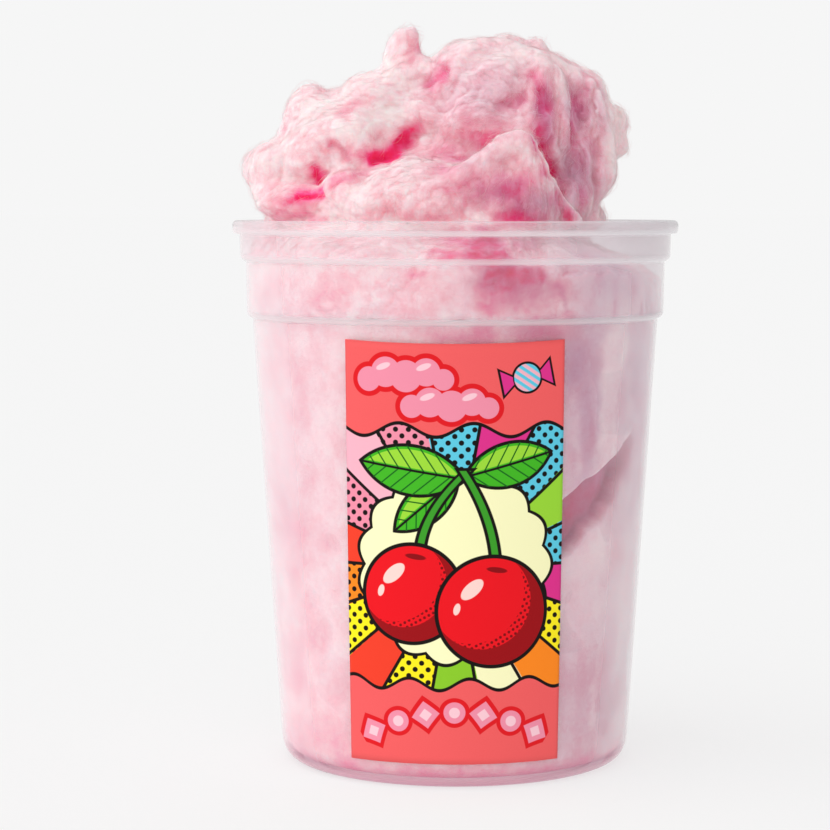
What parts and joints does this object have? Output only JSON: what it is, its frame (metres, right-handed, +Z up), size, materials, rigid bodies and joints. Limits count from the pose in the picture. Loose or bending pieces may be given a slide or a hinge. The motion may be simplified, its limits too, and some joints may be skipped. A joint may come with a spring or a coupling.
{
  "type": "cotton candy in a tub",
  "caption": "Cotton candy packed in a milky plastic deli tub with a stepped rolled rim, heaped high above the rim, with a wrap label on the front.",
  "frame": {"origin": "centre of the tub's foot, on the surface it stands on", "axes": "+Z up along the tub's axis; the label faces -Y; +X is to the right as seen from the label's side"},
  "size_m": [0.117, 0.117, 0.1925],
  "materials": {
    "tub": "milky translucent polypropylene",
    "candy": "soft spun sugar floss",
    "label": "satin printed label"
  },
  "bodies": {
    "root": {"tub": "tub", "candy": "candy", "label": "label"}
  },
  "joints": []
}
